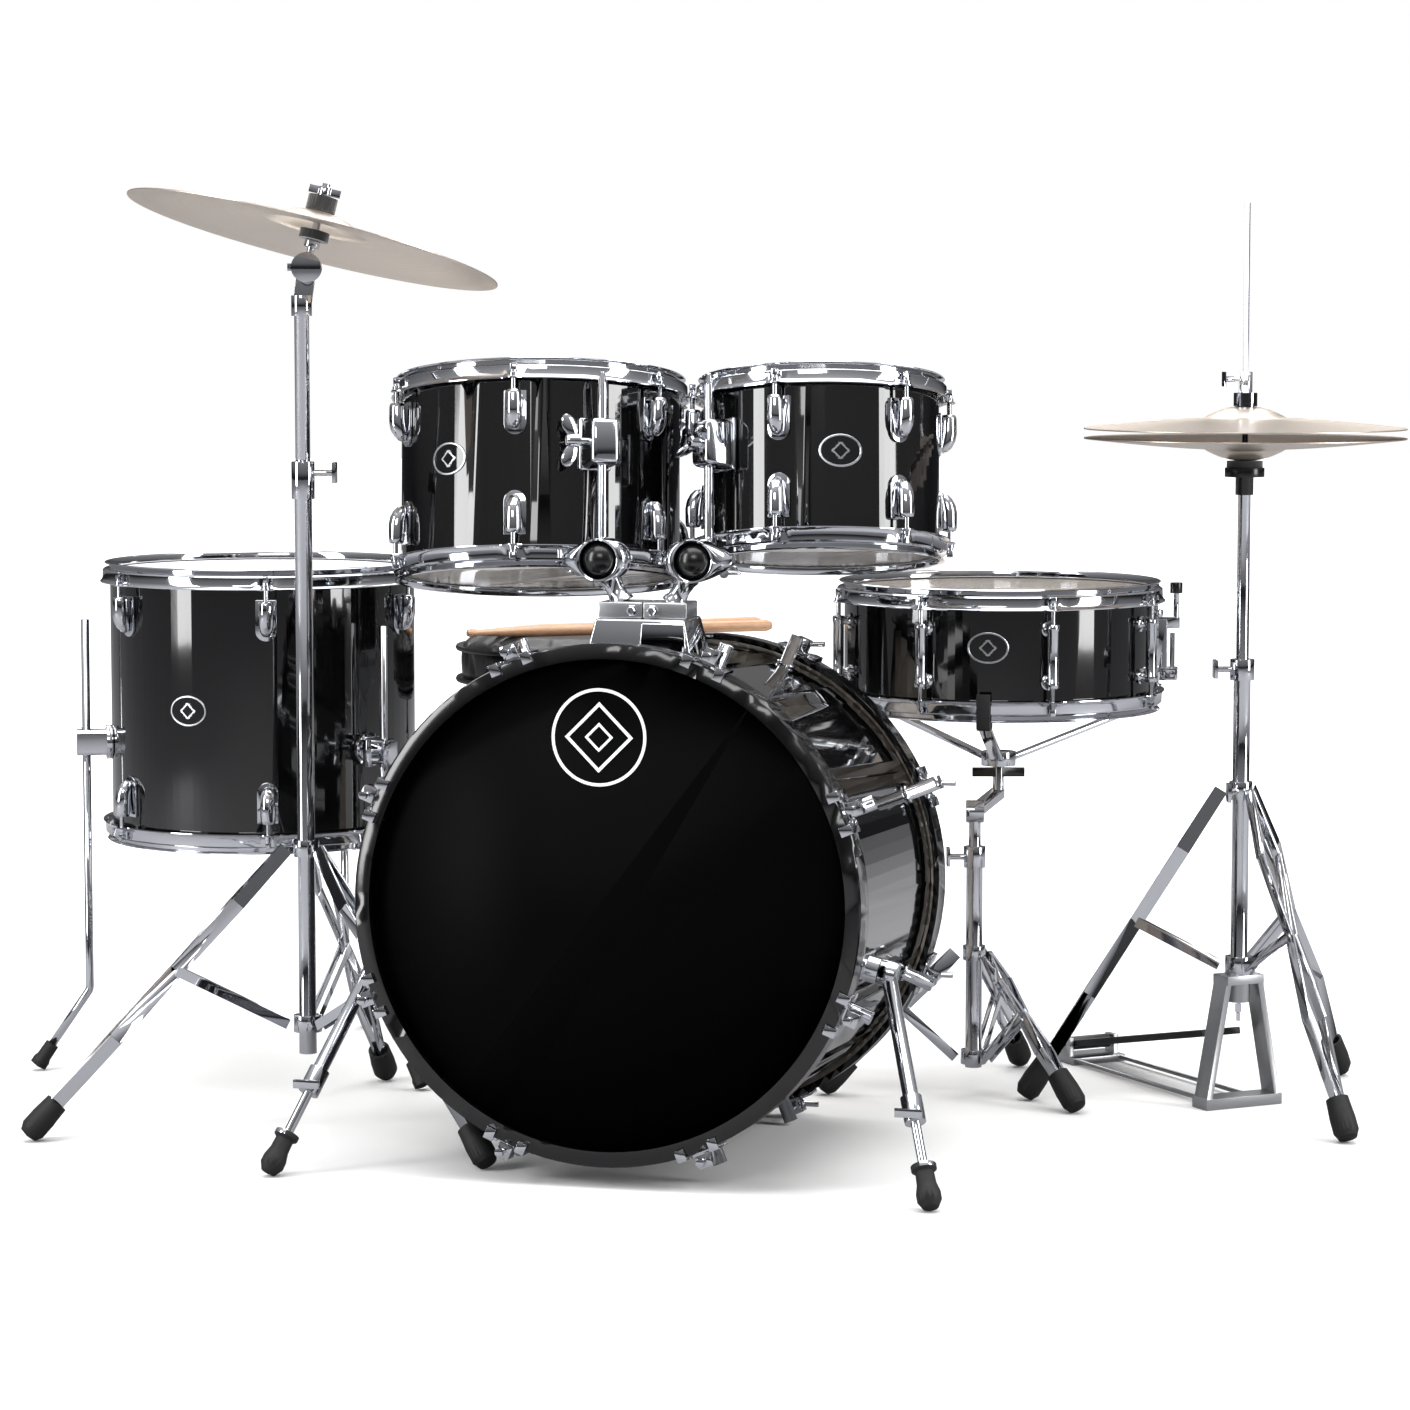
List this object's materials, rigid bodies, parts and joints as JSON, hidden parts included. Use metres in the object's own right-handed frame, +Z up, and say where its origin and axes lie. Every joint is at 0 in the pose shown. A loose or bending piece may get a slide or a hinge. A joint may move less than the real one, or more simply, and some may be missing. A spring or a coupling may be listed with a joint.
{
  "type": "acoustic drum kit",
  "caption": "Acoustic drum kit with bass drum, hanging toms, floor tom, snare, crash and hi-hat cymbals on stands, pedals and a round throne.",
  "frame": {"origin": "centre of the footprint on the floor", "axes": "+X to the right seen from the audience, +Y towards the drummer, +Z up"},
  "size_m": [1.5689, 1.3028, 1.0259],
  "materials": {
    "black_wrap": "gloss PVC wrap over the shell plies",
    "black_hoop": "satin black hoop",
    "black_head": "plain black film head",
    "clear_head": "hazy film head",
    "coated_head": "coated white film head",
    "rubber": "moulded rubber",
    "brass": "lathed pale brass",
    "felt": "pressed black felt",
    "vinyl": "black vinyl cover",
    "hickory": "lacquered hickory",
    "black_metal": "black textured paint",
    "cast_alloy": "cast alloy",
    "steel_wire": "coiled steel wire",
    "chrome": "chrome plate"
  },
  "bodies": {
    "kit_base": {"bass_batter_head": "clear_head", "bass_claws": "chrome", "bass_front_head": "black_head", "bass_hoops": "black_hoop", "bass_lugs": "chrome", "bass_shell": "black_wrap", "bass_spur_brackets": "chrome", "crash_legs": "chrome", "crash_lower_tube": "chrome", "floor_tom_heads": "coated_head", "floor_tom_hoops": "chrome", "floor_tom_leg_brackets": "chrome", "floor_tom_legs": "chrome", "floor_tom_lugs": "chrome", "floor_tom_shell": "black_wrap", "hihat_base": "cast_alloy", "hihat_bottom_cymbal": "brass", "hihat_legs": "chrome", "hihat_seat_felt": "felt", "hihat_tubes": "chrome", "pedal_frame": "cast_alloy", "rubber_feet": "rubber", "snare_heads": "clear_head", "snare_hoops": "chrome", "snare_lugs": "chrome", "snare_shell": "black_wrap", "snare_stand_basket": "chrome", "snare_stand_legs": "chrome", "snare_stand_tubes": "chrome", "snare_strainer": "chrome", "snare_wires": "steel_wire", "throne_base": "chrome", "tom_mount": "chrome"},
    "spur_left_leg": {"spur_left": "chrome"},
    "spur_right_leg": {"spur_right": "chrome"},
    "tom_left_holder": {"tom_left_arm": "chrome"},
    "tom_right_holder": {"tom_right_arm": "chrome"},
    "tom_left": {"tom_left_bracket": "chrome", "tom_left_heads": "clear_head", "tom_left_hoops": "chrome", "tom_left_lugs": "chrome", "tom_left_shell": "black_wrap"},
    "tom_right": {"tom_right_bracket": "chrome", "tom_right_heads": "clear_head", "tom_right_hoops": "chrome", "tom_right_lugs": "chrome", "tom_right_shell": "black_wrap"},
    "snare_throw_lever": {"snare_lever": "chrome"},
    "crash_upper": {"crash_upper_tube": "chrome"},
    "crash_head": {"crash_tilter": "chrome", "crash_felts": "felt"},
    "crash_plate": {"crash_cymbal": "brass"},
    "hihat_treadle": {"hihat_footboard": "black_metal"},
    "hihat_pull": {"hihat_pull_rod": "chrome", "hihat_top_cymbal": "brass"},
    "throne_top": {"throne_spindle": "cast_alloy", "throne_seat": "vinyl", "drumsticks": "hickory"},
    "bass_treadle": {"pedal_footboard": "cast_alloy"},
    "bass_beater": {"pedal_beater": "chrome"}
  },
  "joints": [
    {"name": "spur_left_fold", "type": "hinge", "parent": "kit_base", "child": "spur_left_leg", "pos_m": [-0.30882, -0.36084, 0.22182], "axis": [-0.9428, 0.2299, -0.2416], "range_deg": [0, 40]},
    {"name": "spur_right_fold", "type": "hinge", "parent": "kit_base", "child": "spur_right_leg", "pos_m": [0.1686, -0.48342, 0.22182], "axis": [-0.9369, 0.2527, 0.2416], "range_deg": [0, 40]},
    {"name": "tom_left_tilt", "type": "hinge", "parent": "kit_base", "child": "tom_left_holder", "pos_m": [-0.10075, -0.3364, 0.63], "axis": [0.9686, -0.2487, 0], "range_deg": [-3, 12]},
    {"name": "tom_left_height", "type": "slide", "parent": "tom_left_holder", "child": "tom_left", "axis": [0, 0.1685, 0.9857], "range_m": [-0.012, 0.015]},
    {"name": "tom_right_tilt", "type": "hinge", "parent": "kit_base", "child": "tom_right_holder", "pos_m": [-0.00196, -0.36177, 0.63], "axis": [0.9686, -0.2487, 0], "range_deg": [-3, 12]},
    {"name": "tom_right_height", "type": "slide", "parent": "tom_right_holder", "child": "tom_right", "axis": [0, 0.1685, 0.9857], "range_m": [-0.012, 0.015]},
    {"name": "snare_throw_off", "type": "hinge", "parent": "kit_base", "child": "snare_throw_lever", "pos_m": [0.54193, 0.04586, 0.4765], "axis": [0.1478, 0.989, 0], "range_deg": [0, 80]},
    {"name": "crash_height", "type": "slide", "parent": "kit_base", "child": "crash_upper", "axis": [0, 0, 1], "range_m": [-0.05, 0.08]},
    {"name": "crash_tilt", "type": "hinge", "parent": "crash_upper", "child": "crash_head", "pos_m": [-0.4187, -0.2153, 0.936], "axis": [0, 1, 0], "range_deg": [-30, 8]},
    {"name": "crash_swing", "type": "hinge", "parent": "crash_head", "child": "crash_plate", "pos_m": [-0.4187, -0.2153, 0.936], "axis": [0.2318, 0.1186, 0.9655], "continuous": true},
    {"name": "hihat_pedal", "type": "hinge", "parent": "kit_base", "child": "hihat_treadle", "pos_m": [0.46614, 0.20925, 0.022], "axis": [0.897, 0.442, 0], "range_deg": [0, 1.82]},
    {"name": "hihat_close", "type": "slide", "parent": "kit_base", "child": "hihat_pull", "axis": [0, 0, 1], "range_m": [-0.00905, 0], "stiffness_N_per_m": 2500, "springref_m": 0.02},
    {"name": "throne_spin", "type": "hinge", "parent": "kit_base", "child": "throne_top", "pos_m": [-0.1417, 0.4601, 0.4], "axis": [0, 0, 1], "continuous": true},
    {"name": "bass_pedal_press", "type": "hinge", "parent": "kit_base", "child": "bass_treadle", "pos_m": [0.08671, 0.18866, 0.016], "axis": [0.9686, -0.2487, 0], "range_deg": [0, 13.6]},
    {"name": "bass_beater_swing", "type": "hinge", "parent": "kit_base", "child": "bass_beater", "pos_m": [0.03001, -0.03218, 0.19], "axis": [0.9686, -0.2487, 0], "range_deg": [0, 40.8], "stiffness_Nm_per_rad": 1.2, "springref_deg": -51.57}
  ],
  "couplings": [
    {"joint": "hihat_close", "follows": "hihat_pedal", "m_per_rad": -0.283},
    {"joint": "bass_beater_swing", "follows": "bass_pedal_press", "ratio": 3}
  ]
}
